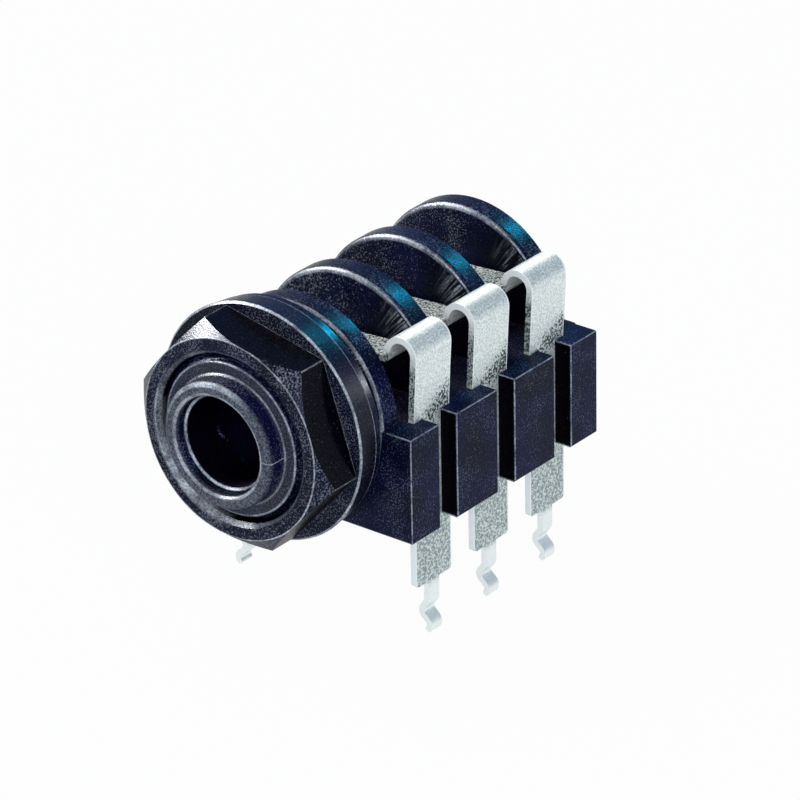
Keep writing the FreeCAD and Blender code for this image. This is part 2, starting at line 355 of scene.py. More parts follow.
def build_block_line():
    """Mask of the blocks' straight edges.

    An edge is where two of the three distances, to the nearest outer side,
    end and top or bottom of a block, are both small. That is where the
    middle one of the three is small.
    """
    tree, given, out = new_group("block line", {"Width": 0.0001}, ["Mask"])
    x, y, z = object_xyz(tree)
    outward = math_node(tree, "ABSOLUTE", x)
    side = distance(tree, outward, BLOCK_OUT)
    rise = math_node(
        tree, "MINIMUM", distance(tree, z, BASE_TOP), distance(tree, z, BASE_BOTTOM))
    end = math_node(tree, "MINIMUM", math_node(tree, "ABSOLUTE", y), distance(tree, y, BASE_REAR))
    half_gap = STRIP_W / 2 - POCKET_DEPTH
    for gap_end in (row_middles[0] - half_gap, row_middles[0] + half_gap):
        off = math_node(tree, "SUBTRACT", y, gap_end)
        end = math_node(tree, "MINIMUM", end, math_node(tree, "PINGPONG", off, PITCH / 2))
    low = math_node(tree, "MINIMUM", side, end)
    high = math_node(tree, "MAXIMUM", side, end)
    middle = math_node(tree, "MAXIMUM", low, math_node(tree, "MINIMUM", high, rise))
    share = math_node(tree, "DIVIDE", middle, given["Width"])
    line = remap(tree, share, 0.75, 1.0, 1.0, 0.0)
    on_block = math_node(tree, "GREATER_THAN", outward, BLOCK_ROOT)
    tree.links.new(product(tree, line, on_block), out["Mask"])
    return tree


def build_parting_line():
    """Mask of the thin ridge that the halves of the mould leave on the nose.

    The ridge lies in the plane z = 0 on the side of +X.
    """
    tree, given, out = new_group("parting line", {"Width": 0.0001}, ["Mask"])
    x, y, z = object_xyz(tree)
    share = math_node(tree, "DIVIDE", math_node(tree, "ABSOLUTE", z), given["Width"])
    line = remap(tree, share, 0.5, 1.0, 1.0, 0.0)
    outside = math_node(tree, "GREATER_THAN", x, MOUTH_R)
    on_nose = math_node(tree, "LESS_THAN", y, THREAD_END - 0.1 * MM)
    tree.links.new(product(tree, line, outside, on_nose), out["Mask"])
    return tree


def build_arc_window():
    """Mask of the part of a rim within half a width of a middle angle.

    The angle is measured about the Y axis, from +X towards +Z. The difference
    to the middle is wrapped into half a turn either way, and fades out.
    """
    tree, given, out = new_group("arc window", {"Middle": 2.0, "Half": 0.9}, ["Mask"])
    x, _, z = object_xyz(tree)
    turned = math_node(tree, "SUBTRACT", math_node(tree, "ARCTAN2", z, x), given["Middle"])
    off = math_node(tree, "PINGPONG", turned, math.pi)
    share = math_node(tree, "DIVIDE", off, given["Half"])
    tree.links.new(remap(tree, share, 0.35, 1.0, 1.0, 0.0), out["Mask"])
    return tree


def build_disc_streaks():
    """Mask of fine radial streaks on the right of each disc, which are a painted reflection.

    The noise is read at (angle times a large number, radius times a small
    one), so that it is fine round the disc and long outwards. It fades out
    away from one angle and towards the bore, and stops short of the rim and
    in front of the discs.
    """
    tree, given, out = new_group(
        "disc streaks", {"Per radian": STREAKS_PER_RADIAN}, ["Mask"])
    x, y, z = object_xyz(tree)
    angle = math_node(tree, "ARCTAN2", z, x)
    radius = length(tree, x, z)
    place = add(tree, "ShaderNodeCombineXYZ", {
        "X": product(tree, angle, given["Per radian"]),
        "Y": product(tree, radius, STREAKS_OUTWARD),
        "Z": product(tree, y, STREAKS_ALONG),
    }).outputs[0]
    streaks = remap(tree, noise(tree, place, 1.0, 2.0), 0.46, 0.66)
    near = remap(tree, distance(tree, angle, STREAK_ANGLE), 0.05, 0.30, 1.0, 0.0)
    outer = remap(tree, radius, DISC_R - 2.8 * MM, DISC_R - 0.8 * MM)
    inside_rim = math_node(tree, "LESS_THAN", radius, DISC_R - 0.3 * MM)
    behind = math_node(tree, "GREATER_THAN", y, 0.0)
    tree.links.new(product(tree, streaks, near, outer, inside_rim, behind), out["Mask"])
    return tree


rim_line = build_rim_line()
block_line = build_block_line()
parting_line = build_parting_line()
arc_window = build_arc_window()
disc_streaks = build_disc_streaks()
print("groups:", *(group.name for group in bpy.data.node_groups))


# %% Masks for one rim
def rim_mask(tree, y, radius, place, width, strength):
    """Line of a given strength round a rim at a radius and a place along Y."""
    along = math_node(tree, "SUBTRACT", y, place)
    inputs = {"Along": along, "Radius": radius, "Width": width}
    return product(tree, grouped(tree, rim_line, inputs)["Mask"], strength)


def arc_mask(tree, middle, half):
    """Window round a middle angle, in degrees, of a given half width."""
    inputs = {"Middle": math.radians(middle), "Half": math.radians(half)}
    return grouped(tree, arc_window, inputs)["Mask"]


def rim_arc(tree, y, radius, place, width, strength, middle, half):
    """Part of a rim's line, round a middle angle in degrees."""
    line = rim_mask(tree, y, radius, place, width, strength)
    return product(tree, line, arc_mask(tree, middle, half))


def strongest(tree, masks):
    """Mask that is the largest of several."""
    result = masks[0]
    for mask in masks[1:]:
        result = math_node(tree, "MAXIMUM", result, mask)
    return result


# %% [markdown]
# ## Black plastics
#
# One recipe makes the housing, the nut and the washer, with other numbers.
# It lays down a black with slow waves of navy, then grains of pale dust, then
# a lighter grey on the nose's front face and the bush's end face, and last the
# broken pale lines on the edges, which are pale wear and painted highlights in
# one. A number on each face says how little dust the face holds. It also paints
# shade: the higher it is, the nearer the face comes to an unlit black, so the
# bore, the gaps between the blocks, the nut's hole and flats and the discs'
# faces are darkened with painted shade. The number also tells a few kinds of
# face apart: the discs' faces, whose upper left is painted lighter, as where
# the light falls, with more and paler dust; the nut's flats, which are dull;
# and the bore's wall, which the pin of the mould leaves polished.
#
# The blocks' tops lie level, so they face the blue light from above, and that
# blue is painted into their grains. The reflections of all three plastics are
# painted with a blue tint as the colour of the light, more violet in the bore,
# the gaps and the nut's hole.

# %% Colours and kinds of face
# Face numbers: each says how little dust a face holds, and above 0.40 it also paints shade,
# darkening the face up to an unlit black at 0.85.
DISC_FACE_CLEAN_AND_SHADE = 0.72
FLAT_CLEAN_AND_SHADE = 0.80
GAP_CLEAN_AND_SHADE = 0.96
BORE_CLEAN_AND_SHADE = 1.0
SAME_CLEAN = 0.05
FLAT_GLOSS = 0.40
BORE_GLOSS = 0.42
# Painted light: the arc of the discs' upper left, where the light falls.
LIT_SIDE_ARC = (120, 60)
# Painted highlights: the pale colour of the edge lines, which stand for wear and for light caught
# on the edges.
EDGE_WEAR_AND_HIGHLIGHT = (0.72, 0.78, 0.86)
# Painted light: the paler dust on the discs' lit upper left.
LIT_SIDE_DUST = (0.190, 0.200, 0.240)
FACE_GREY = (0.20, 0.215, 0.24)
# Painted shade: the unlit black that the face number darkens faces towards.
UNLIT_BLACK = (0.0006, 0.0005, 0.0016)
# Painted light: the blue of the light from above, painted into the grains on the blocks' tops.
SKY_LIT_DUST = (0.070, 0.170, 0.400)
# Painted light: the blue tint of the plastics' reflections and the violet one in the bore stand
# for the colour of the light.
COOL_TINT = (0.62, 0.74, 1.0)
BORE_TINT = (0.36, 0.20, 1.0)
HOUSING_TONES = ((0.0009, 0.0013, 0.009), (0.0030, 0.0042, 0.029))
NUT_TONES = ((0.0014, 0.0018, 0.009), (0.0042, 0.0055, 0.022))
BREAKS_PER_METRE = 6200.0
FADES_PER_METRE = 800.0


# %% Build the black plastics
def lit_disc_side(tree, clean_and_shade):
    """Mask of the upper left of the discs' faces, painted lighter, as where the light falls, with
    more and paler dust.

    A disc's face is known by its number, and the side by its angle.
    """
    is_disc = math_node(tree, "LESS_THAN", distance(tree, clean_and_shade, DISC_FACE_CLEAN_AND_SHADE), SAME_CLEAN)
    return product(tree, arc_mask(tree, *LIT_SIDE_ARC), is_disc)


def block_tops(tree, x, z):
    """Mask of the blocks' tops."""
    outside = math_node(tree, "GREATER_THAN", math_node(tree, "ABSOLUTE", x), BLOCK_ROOT)
    level = math_node(tree, "LESS_THAN", distance(tree, z, BASE_TOP), 0.01 * MM)
    return product(tree, level, outside)


def plastic(name, tones, edges, lighter_faces, dust, dust_colour, roughness, gloss, bump, grain):
    """Black moulded plastic with grain, pale dust, painted shade and light, and pale edges that
    are wear and painted highlights.

    edges and the second mask function, which may be None, put a mask's nodes in
    the tree: edges for the pale lines, which stand for wear and for light caught
    on the edges as painted highlights, the other for broad areas of a lighter
    grey. The edge mask is broken up by a fine and a slow noise, so that a line is
    a row of grains and fades here and there. dust is how thick the grains lie and
    grain how many there are to the metre. gloss is the shader's specular
    level: it drops on the nut's flats and rises on the bore's wall.
    """
    material, tree, shader = new_material(name)
    clean_and_shade = add(tree, "ShaderNodeAttribute", attribute_name="clean_and_shade").outputs["Fac"]
    # Painted light: the discs' upper left is lit, with more dust and no painted shade there.
    lit_side = lit_disc_side(tree, clean_and_shade)
    clean_and_shade = product(tree, clean_and_shade, math_node(tree, "SUBTRACT", 1.0, lit_side))
    dusty = product(tree, math_node(tree, "SUBTRACT", 1.0, clean_and_shade), dust)
    made = grouped(tree, moulded_grain, {"Grain per metre": grain, "Dust": dusty})
    x, y, z = object_xyz(tree)

    tone = mix_colour(tree, remap(tree, made["Wave"], 0.35, 0.65), *tones)
    # Painted shade: the higher a face's number, the nearer its colour comes to an unlit black;
    # the bore, the gaps, the nut's hole and flats and the discs' faces are darkened this way.
    tone = mix_colour(tree, remap(tree, clean_and_shade, 0.40, 0.85), tone, UNLIT_BLACK)
    # Painted light: the grains on the blocks' level tops take the blue of the light from above.
    grains = mix_colour(tree, block_tops(tree, x, z), dust_colour, SKY_LIT_DUST)
    # Painted light: the dust on the discs' lit upper left is paler.
    grains = mix_colour(tree, lit_side, grains, LIT_SIDE_DUST)
    tone = mix_colour(tree, made["Dust"], tone, grains)
    if lighter_faces:
        patchy = remap(tree, made["Grain"], 0.36, 0.64, 0.25, 1.0)
        tone = mix_colour(tree, product(tree, lighter_faces(tree, y), patchy), tone, FACE_GREY)
    place = object_place(tree)
    breaks = remap(tree, noise(tree, place, BREAKS_PER_METRE, 2.0), 0.38, 0.62, 0.42, 1.0)
    fades = remap(tree, noise(tree, place, FADES_PER_METRE, 2.0), 0.36, 0.60, 0.38, 1.0)
    # Painted highlights: the pale edge lines stand for light caught on rounded edges as well as
    # for pale wear.
    wear_and_highlight = product(tree, edges(tree, y), breaks, fades)
    tree.links.new(mix_colour(tree, wear_and_highlight, tone, EDGE_WEAR_AND_HIGHLIGHT), shader.inputs["Base Color"])

    spread = remap(tree, made["Grain"], 0.35, 0.65, roughness - 0.08, roughness + 0.10)
    tree.links.new(spread, shader.inputs["Roughness"])
    relief = math_node(tree, "ADD", made["Grain"], product(tree, made["Dust"], 0.5))
    inputs = {"Height": relief, "Strength": 1.0, "Distance": bump}
    tree.links.new(add(tree, "ShaderNodeBump", inputs).outputs[0], shader.inputs["Normal"])
    # Painted light: reflections tinted blue, more violet on the faces with least dust, such as
    # the bore's wall.
    tint = mix_colour(tree, remap(tree, clean_and_shade, 0.70, 0.95), COOL_TINT, BORE_TINT)
    tree.links.new(tint, shader.inputs["Specular Tint"])
    past_discs = DISC_FACE_CLEAN_AND_SHADE + 0.01
    duller = remap(tree, clean_and_shade, past_discs, FLAT_CLEAN_AND_SHADE, gloss, FLAT_GLOSS * gloss)
    polished = remap(tree, clean_and_shade, GAP_CLEAN_AND_SHADE, BORE_CLEAN_AND_SHADE, 0.0, BORE_GLOSS)
    level = math_node(tree, "ADD", duller, polished)
    tree.links.new(level, shader.inputs["Specular IOR Level"])
    return material


def disc_rim(tree, y, inset, width):
    """Line round the front rim of every disc, a pitch apart along Y."""
    after = math_node(tree, "SUBTRACT", y, DISC_FRONT + 0.10 * MM)
    nearest = math_node(tree, "PINGPONG", after, PITCH / 2)
    inputs = {"Along": nearest, "Radius": DISC_R - inset, "Width": width}
    return grouped(tree, rim_line, inputs)["Mask"]


def housing_edges(tree, y):
    """Wear and painted highlights on the edges of the blocks, discs, flange, nose and mouth, and
    the discs' painted streaks of reflection.
    """
    blocks = grouped(tree, block_line, {"Width": 0.11 * MM})["Mask"]
    ridge = grouped(tree, parting_line, {"Width": 0.06 * MM})["Mask"]
    streaks = grouped(tree, disc_streaks)["Mask"]
    # Painted highlight: a crescent along the top of each disc's front rim.
    crescent = product(tree, disc_rim(tree, y, 0.18 * MM, 0.24 * MM), arc_mask(tree, 98, 48))
    return strongest(tree, [
        product(tree, blocks, 0.52),
        product(tree, disc_rim(tree, y, 0.15 * MM, 0.09 * MM), 0.60),
        # Painted reflection: fine radial streaks on the right of the discs' faces.
        product(tree, streaks, 0.60),
        product(tree, ridge, 0.45),
        product(tree, crescent, 0.55),
        rim_mask(tree, y, DISC_R - 0.22 * MM, 0.12 * MM, 0.16 * MM, 0.60),
        # Painted highlights: an arc on the nose's upper left and one on the thread's lower left.
        rim_arc(tree, y, NOSE_R - 0.14 * MM, NOSE_END + 0.08 * MM, 0.26 * MM, 0.95, 112, 62),
        rim_arc(tree, y, THREAD_CREST - 0.1 * MM, THREAD_END + 0.7 * MM, 0.6 * MM, 0.85, 218, 52),
        rim_mask(tree, y, MOUTH_R + 0.10 * MM, NOSE_END, 0.17 * MM, 0.60),
        rim_mask(tree, y, BORE_R + 0.08 * MM, MOUTH_FLOOR, 0.14 * MM, 0.80),
        rim_mask(tree, y, NOSE_R + 0.10 * MM, THREAD_END, 0.10 * MM, 0.35),
        rim_mask(tree, y, CHAMFER_R, THREAD_END, 0.10 * MM, 0.55),
    ])


def housing_lighter_faces(tree, y):
    """Lighter grey on the nose's front face and the bush's end face."""
    nose_middle = (NOSE_R + MOUTH_R) / 2 - 0.05 * MM
    bush_middle = (NOSE_R + CHAMFER_R) / 2
    return strongest(tree, [
        rim_mask(tree, y, nose_middle, NOSE_END, 0.66 * MM, 0.62),
        rim_mask(tree, y, bush_middle, THREAD_END, 0.60 * MM, 0.28),
    ])


def nut_edges(tree, y):
    """Wear and painted highlights on the face circle, hole, flange rims, foot of the flats and
    the six upright edges.
    """
    front = NUT_FLANGE_FRONT
    corner_inputs = {"Along": 0.0, "Radius": NUT_CORNER_R, "Width": 0.04 * MM}
    corner = grouped(tree, rim_line, corner_inputs)["Mask"]
    foot = remap(tree, y, front - 0.09 * MM, front - 0.04 * MM)
    on_prism = math_node(tree, "LESS_THAN", y, front - 0.02 * MM)
    return strongest(tree, [
        product(tree, math_node(tree, "MAXIMUM", corner, foot), on_prism, 0.40),
        rim_mask(tree, y, NUT_FACE_R, NUT_FRONT, 0.075 * MM, 0.72),
        rim_mask(tree, y, NUT_HOLE_R + 0.16 * MM, NUT_FRONT + 0.16 * MM, 0.20 * MM, 0.30),
        # Painted highlights: arcs on the lower left of the nut's hole.
        rim_arc(tree, y, NUT_HOLE_R + 0.10 * MM, NUT_FRONT + 0.3 * MM, 0.6 * MM, 0.95, 218, 52),
        rim_arc(tree, y, NUT_HOLE_R + 0.34 * MM, NUT_FRONT, 0.10 * MM, 1.0, 205, 62),
        rim_mask(tree, y, NUT_FLANGE_R - 0.07 * MM, front + 0.07 * MM, 0.11 * MM, 0.72),
        rim_mask(tree, y, NUT_FLANGE_REAR_R, NUT_REAR, 0.09 * MM, 0.5),
    ])


def washer_edges(tree, y):
    """Wear and painted highlights on both rims of the washer."""
    radius = washer_high[2] - 0.05 * MM
    return strongest(tree, [
        rim_mask(tree, y, radius, washer_low[1] + 0.05 * MM, 0.09 * MM, 0.60),
        rim_mask(tree, y, radius, washer_high[1] - 0.05 * MM, 0.09 * MM, 0.35),
    ])


housing_plastic = plastic(
    "housing plastic", HOUSING_TONES, housing_edges, housing_lighter_faces,
    dust=0.9, dust_colour=(0.080, 0.095, 0.168), roughness=0.32, gloss=0.07,
    bump=0.012 * MM, grain=8000.0)
nut_plastic = plastic(
    "nut plastic", NUT_TONES, nut_edges, None,
    dust=1.05, dust_colour=(0.140, 0.152, 0.195), roughness=0.30, gloss=0.085,
    bump=0.013 * MM, grain=8000.0)
washer_plastic = plastic(
    "washer plastic", HOUSING_TONES, washer_edges, None,
    dust=0.7, dust_colour=(0.05, 0.06, 0.10), roughness=0.26, gloss=0.09,
    bump=0.010 * MM, grain=9000.0)
print("plastics:", housing_plastic.name, nut_plastic.name, washer_plastic.name)

# %% [markdown]
# ## Silvered contact strip
#
# The contacts are stamped from sprung metal and silver plated. The plate is
# matt and pale. The cut edges are paler than the faces, the tags carry a
# coarse mottle, and dark grains lie on the arms, where they are painted shade
# between the discs, and on each leg's lower rear corner. The cut side of a leg
# faces the dark gap beside it and is painted dark with grains, as shade.
#
# The mottle and the grains are one noise each, and masks by height, by place
# across the strip and by distance from the bore choose how much shows.

# %% Build the contact metal
TAG_BOTTOM = -12.40 * MM
ARM_ROOT_X = 6.1 * MM
SILVER = ((0.60, 0.68, 0.66), (0.95, 0.99, 0.98))
TAG_SILVER = ((0.14, 0.19, 0.19), (0.66, 0.74, 0.74))
# Painted shade: the dark tone of a leg's cut side beside the gap.
SHADED_SIDE_SILVER = ((0.03, 0.04, 0.04), (0.50, 0.56, 0.55))
PIN_SILVER = (0.94, 0.98, 0.97)
CUT_SILVER = (0.96, 1.0, 0.99)
# Dark grains: painted shade on the arms between the discs; low on the legs they only make the
# strip darker.
DARK_GRAIN = (0.045, 0.065, 0.062)
CORNER_SLOPE = 0.60
CORNER_HEIGHT = 1.50 * MM


def between(tree, value, low, low_full, high_full, high):
    """Mask that fades in from low to low_full and out from high_full to high."""
    return product(
        tree, remap(tree, value, low, low_full), remap(tree, value, high, high_full))


def dark_grain_share(tree, x, z, across):
    """How thick the dark grains lie: on the arms, where they are painted shade, and low on each
    leg.

    The line that bounds them on a leg rises towards the strip's rear edge, so
    the height is measured less a share of the place across the strip.
    """
    above = math_node(tree, "SUBTRACT", z, product(tree, across, CORNER_SLOPE))
    above = math_node(tree, "SUBTRACT", above, CORNER_HEIGHT)
    low_corner = remap(tree, above, -1.1 * MM, 0.5 * MM, 1.0, 0.0)
    near_leg = remap(tree, z, -1.5 * MM, 0.0)
    inward = remap(tree, x, ARM_ROOT_X + 0.3 * MM, ARM_ROOT_X - 0.5 * MM)
    on_arm = product(tree, inward, math_node(tree, "GREATER_THAN", x, 0.0), 0.92)
    return math_node(tree, "MAXIMUM", product(tree, low_corner, near_leg), on_arm)


def build_strip_metal():
    """Matt silver plate: mottled tag, dark grains low on the leg, painted shade on the arms and
    the legs' cut sides, pale cut edges.
    """
    material, tree, shader = new_material("silvered strip")
    place = object_place(tree)
    x, y, z = object_xyz(tree)
    mottle = noise(tree, place, 7600.0, 2.0)
    grains = noise(tree, place, 6500.0, 1.0)
    inputs = {0: math_node(tree, "SUBTRACT", y, row_middles[0]), 1: PITCH / 2, 2: -PITCH / 2}
    across = add(tree, "ShaderNodeMath", inputs, operation="WRAP").outputs[0]
    off_middle = math_node(tree, "ABSOLUTE", across)
    edge = remap(tree, off_middle, STRIP_W / 2 - 0.13 * MM, STRIP_W / 2 - 0.08 * MM)
    cut = remap(tree, off_middle, STRIP_W / 2 - 0.04 * MM, STRIP_W / 2 - 0.02 * MM)
    on_tag = between(
        tree, z, TAG_BOTTOM - 0.3 * MM, TAG_BOTTOM + 0.1 * MM,
        BASE_BOTTOM + 0.3 * MM, BASE_BOTTOM + 1.3 * MM)
    on_pin = remap(tree, z, TAG_BOTTOM - 0.1 * MM, TAG_BOTTOM - 0.6 * MM)
    beside_leg = between(tree, z, -0.5 * MM, 0.3 * MM, 3.4 * MM, 5.2 * MM)
    level = remap(tree, dark_grain_share(tree, x, z, across), 0.0, 1.0, 0.80, 0.44)
    dark = remap(tree, math_node(tree, "SUBTRACT", grains, level), 0.0, 0.11)

    tone = mix_colour(tree, remap(tree, mottle, 0.40, 0.62), *SILVER)
    tag_tone = mix_colour(tree, remap(tree, grains, 0.42, 0.62), *TAG_SILVER)
    shaded_side_tone = mix_colour(tree, remap(tree, grains, 0.40, 0.62), *SHADED_SIDE_SILVER)
    tone = mix_colour(tree, product(tree, on_tag, 0.8), tone, tag_tone)
    tone = mix_colour(tree, product(tree, on_pin, 0.85), tone, PIN_SILVER)
    # Painted shade on the arms, and dark grains low on the legs.
    tone = mix_colour(tree, dark, tone, DARK_GRAIN)
    tone = mix_colour(tree, edge, tone, CUT_SILVER)
    # Painted shade: the cut side of a leg beside the dark gap.
    tone = mix_colour(tree, product(tree, cut, beside_leg), tone, shaded_side_tone)
    tree.links.new(tone, shader.inputs["Base Color"])
    tree.links.new(remap(tree, edge, 0.0, 1.0, 0.60, 0.15), shader.inputs["Metallic"])
    tree.links.new(remap(tree, mottle, 0.35, 0.65, 0.40, 0.54), shader.inputs["Roughness"])
    relief = math_node(tree, "SUBTRACT", mottle, product(tree, dark, 0.6))
    inputs = {"Height": relief, "Strength": 1.0, "Distance": 0.016 * MM}
    tree.links.new(add(tree, "ShaderNodeBump", inputs).outputs[0], shader.inputs["Normal"])
    return material


strip_metal = build_strip_metal()
print("metal:", strip_metal.name)

# %% Dress the contacts
contacts = [node for name, node in nodes.items() if "contact" in name]
for node in contacts:
    node.data.materials.clear()
    node.data.materials.append(strip_metal)
print("dressed", len(contacts), "contacts")

# %% [markdown]
# ## The screw thread on the bush
#
# The CAD keeps the bush as a plain cylinder, because a modelled thread costs
# a great many faces there. Here the thread is one height field wrapped round
# the axis: at each angle and each place along Y it has one radius. It could
# also be a profile swept along a helix, but the height field ends cleanly in
# the bush's chamfer without any cutting.


# %% Closed grid and thread
def closed_grid(name, points, material):
    """Mesh on a grid that closes on itself both ways.

    points is an array (rows, columns, 3). Each quad joins a point to the next
    one in its row and in its column, and both directions wrap round.
    """
    rows, columns = points.shape[:2]
    index = np.arange(rows * columns).reshape(rows, columns)
    next_row = np.roll(index, -1, axis=0)
    next_column = np.roll(index, -1, axis=1)
    both = np.roll(next_row, -1, axis=1)
    quads = np.stack([index, next_column, both, next_row], axis=-1).reshape(-1, 4)
    mesh = bpy.data.meshes.new(name)
    mesh.from_pydata(points.reshape(-1, 3).tolist(), [], quads.tolist())
    mesh.shade_smooth()
    mesh.materials.append(material)
    piece = bpy.data.objects.new(name, mesh)
    scene.collection.objects.link(piece)
    return piece


THREAD_PITCH = 1.00 * MM
THREAD_DEPTH = 0.52 * MM
THREAD_FLAT = 0.12
CORE_R = THREAD_CREST - 0.65 * MM
FRONT_GAP = 0.01 * MM
REAR_LAP = 0.15 * MM
AROUND = 144
PER_TURN = 16


def bush_thread():
    """Right-handed V thread as a height field about the Y axis.

    The phase is y / pitch + angle / (2 pi). Its distance from the nearest
    root, from 0 to 1, is the height of the V, with a small flat at the crest
    and the root. The radius is the lesser of that and the chamfer's cone. The
    two end rows lie on the core's radius, so that the tube is closed.
    """
    start, end = THREAD_END + FRONT_GAP, REAR_LAP
    count = int(round((end - start) / THREAD_PITCH * PER_TURN)) + 1
    y = np.linspace(start, end, count)[:, None]
    angle = np.linspace(0, 2 * np.pi, AROUND, endpoint=False)[None, :]
    phase = (y / THREAD_PITCH + angle / (2 * np.pi)) % 1.0
    vee = np.clip((1 + 2 * THREAD_FLAT) * np.abs(2 * phase - 1) - THREAD_FLAT, 0, 1)
    radius = THREAD_CREST - THREAD_DEPTH * (1 - vee)
    radius = np.minimum(radius, CHAMFER_R + (y - THREAD_END))
    radius = np.concatenate([np.full((1, AROUND), CORE_R), radius, np.full((1, AROUND), CORE_R)])
    along = np.concatenate([y[:1], y, y[-1:]]) * np.ones_like(angle)
    points = np.stack([radius * np.cos(angle), along, radius * np.sin(angle)], axis=-1)
    return closed_grid("bush_thread", points, housing_plastic)


thread = bush_thread()
print("thread:", len(thread.data.polygons), "faces")

# %% [markdown]
# ## Dressed copies of the mouldings
#
# A copy of each moulding stands for its CAD node. The CAD's mesh is loose
# triangles, so equal points are joined first, and edges sharper than a limit
# stay sharp. In the housing's copy the points of the bush's cylinder move in
# to the core's radius, and the thread fills the space.
#
# Each face also gets a number that says how little dust it holds and how much
# painted shade darkens it. Dust and rubbing reach a nut's front and a flange,
# and hardly the gaps between the blocks or the faces between the discs. These
# are the faces painted darker as shade, down to an unlit black in the gaps and
# the bore. The number is an attribute on faces, worked out from each face's
# normal and middle.


# %% Joined copies
SAME_PLACE = 1e-6
SHARP = math.radians(32)


def joined_copy(node, name, material):
    """Copy of a CAD node with equal points joined, smooth except at sharp edges."""
    source = node.data
    source.calc_loop_triangles()
    places = np.empty(len(source.vertices) * 3)
    source.vertices.foreach_get("co", places)
    corners = np.empty(len(source.loop_triangles) * 3, dtype=np.int32)
    source.loop_triangles.foreach_get("vertices", corners)
    keys = np.round(places.reshape(-1, 3) / SAME_PLACE).astype(np.int64)
    _, first, joined = np.unique(keys, axis=0, return_index=True, return_inverse=True)
    triangles = joined.reshape(-1)[corners].reshape(-1, 3)
    a, b, c = triangles.T
    triangles = triangles[(a != b) & (b != c) & (c != a)]
    mesh = bpy.data.meshes.new(name)
    mesh.from_pydata(places.reshape(-1, 3)[first].tolist(), [], triangles.tolist())
    mesh.shade_smooth()
    mesh.set_sharp_from_angle(angle=SHARP)
    mesh.materials.append(material)
    piece = bpy.data.objects.new(name, mesh)
    scene.collection.objects.link(piece)
    weighted = piece.modifiers.new("flat faces stay flat", "WEIGHTED_NORMAL")
    weighted.keep_sharp = True
    return piece


def narrow_bush(piece):
    """Move the bush's cylinder in to the core's radius."""
    mesh = piece.data
    places = np.empty(len(mesh.vertices) * 3)
    mesh.vertices.foreach_get("co", places)
    places = places.reshape(-1, 3)
    radius = np.hypot(places[:, 0], places[:, 2])
    on_bush = (np.abs(radius - THREAD_CREST) < 0.02 * MM) & (places[:, 1] < 0.01 * MM)
    places[np.ix_(on_bush, [0, 2])] *= (CORE_R / radius[on_bush])[:, None]
    mesh.vertices.foreach_set("co", places.reshape(-1))
    mesh.update()
    return int(on_bush.sum())


def mark_clean_and_shade(piece, rule):
    """Store the rule's answer for each face, from its middle and normal, as a face attribute that
    sets dust and painted shade.
    """
    mesh = piece.data
    count = len(mesh.polygons)
    middle, normal = np.empty(count * 3), np.empty(count * 3)
    mesh.polygons.foreach_get("center", middle)
    mesh.polygons.foreach_get("normal", normal)
    values = rule(middle.reshape(-1, 3), normal.reshape(-1, 3)).astype(np.float32)
    mesh.attributes.new("clean_and_shade", "FLOAT", "FACE").data.foreach_set("value", values)
    return round(float(values.mean()), 2)


BLOCK_SIDE_CLEAN = 0.12
BLOCK_TOP_CLEAN = 0.10
RIM_CLEAN_AND_SHADE = 0.55


def housing_clean_and_shade(middle, normal):
    """How free of dust the housing's faces are, and how much painted shade darkens them.

    The bore and the gaps between the blocks hold no dust and are painted an
    unlit black as shade, and the discs' faces nearly so. The blocks' sides and
    tops hold a little less dust and are not darkened, and all else is neither.
    """
    x, y, z = np.abs(middle[:, 0]), middle[:, 1], middle[:, 2]
    radius = np.hypot(x, z)
    on_block = (x > BLOCK_ROOT) & (z < BASE_TOP + SAME_PLACE)
    across = np.abs(normal[:, 1]) > 0.9
    inside = (y > 1 * MM) & (y < BASE_REAR - 1 * MM)
    value = np.zeros(len(middle))
    value[across & inside] = DISC_FACE_CLEAN_AND_SHADE
    value[on_block & (np.abs(normal[:, 0]) > 0.9)] = BLOCK_SIDE_CLEAN
    value[on_block & (normal[:, 2] > 0.9)] = BLOCK_TOP_CLEAN
    value[across & inside & on_block] = GAP_CLEAN_AND_SHADE
    value[(radius < BORE_R + 0.1 * MM) & (y > MOUTH_FLOOR + 0.2 * MM)] = BORE_CLEAN_AND_SHADE
    return value


def nut_clean_and_shade(middle, normal):
    """How free of dust the nut's faces are, and how dark painted shade makes them: the flats and
    the hole nearly fully, the flange's rim about half as free of dust and a third as dark.
    """
    radius = np.hypot(middle[:, 0], middle[:, 2])
    upright = np.abs(normal[:, 1]) < 0.2
    value = np.zeros(len(middle))
    value[upright & (middle[:, 1] < NUT_FLANGE_FRONT)] = FLAT_CLEAN_AND_SHADE
    value[upright & (middle[:, 1] > NUT_FLANGE_FRONT)] = RIM_CLEAN_AND_SHADE
    value[radius < NUT_HOLE_R + 0.1 * MM] = GAP_CLEAN_AND_SHADE
    return value


body = joined_copy(nodes["housing"], "dressed_housing", housing_plastic)
nut = joined_copy(nodes["hex_nut"], "dressed_nut", nut_plastic)
ring = joined_copy(nodes["washer"], "dressed_washer", washer_plastic)
print("moved", narrow_bush(body), "points of the bush")
print("clean:", mark_clean_and_shade(body, housing_clean_and_shade), mark_clean_and_shade(nut, nut_clean_and_shade))
for piece, carrier, node, slot in (
    (body, "socket", "housing", "black_plastic"),
    (thread, "socket", "housing", "black_plastic"),
    (nut, "nut", "hex_nut", "nut_plastic"),
    (ring, "washer", "washer", "nut_plastic"),
):
    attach(piece, carrier)
    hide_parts(node)

# %% [markdown]
# ## Studio
#
# The socket stands on a white sheet. For the camera and in reflections the
# sheet glows at the level of plain white, mixed with a little of its own
# shading, so the background is white and still carries a soft shadow.


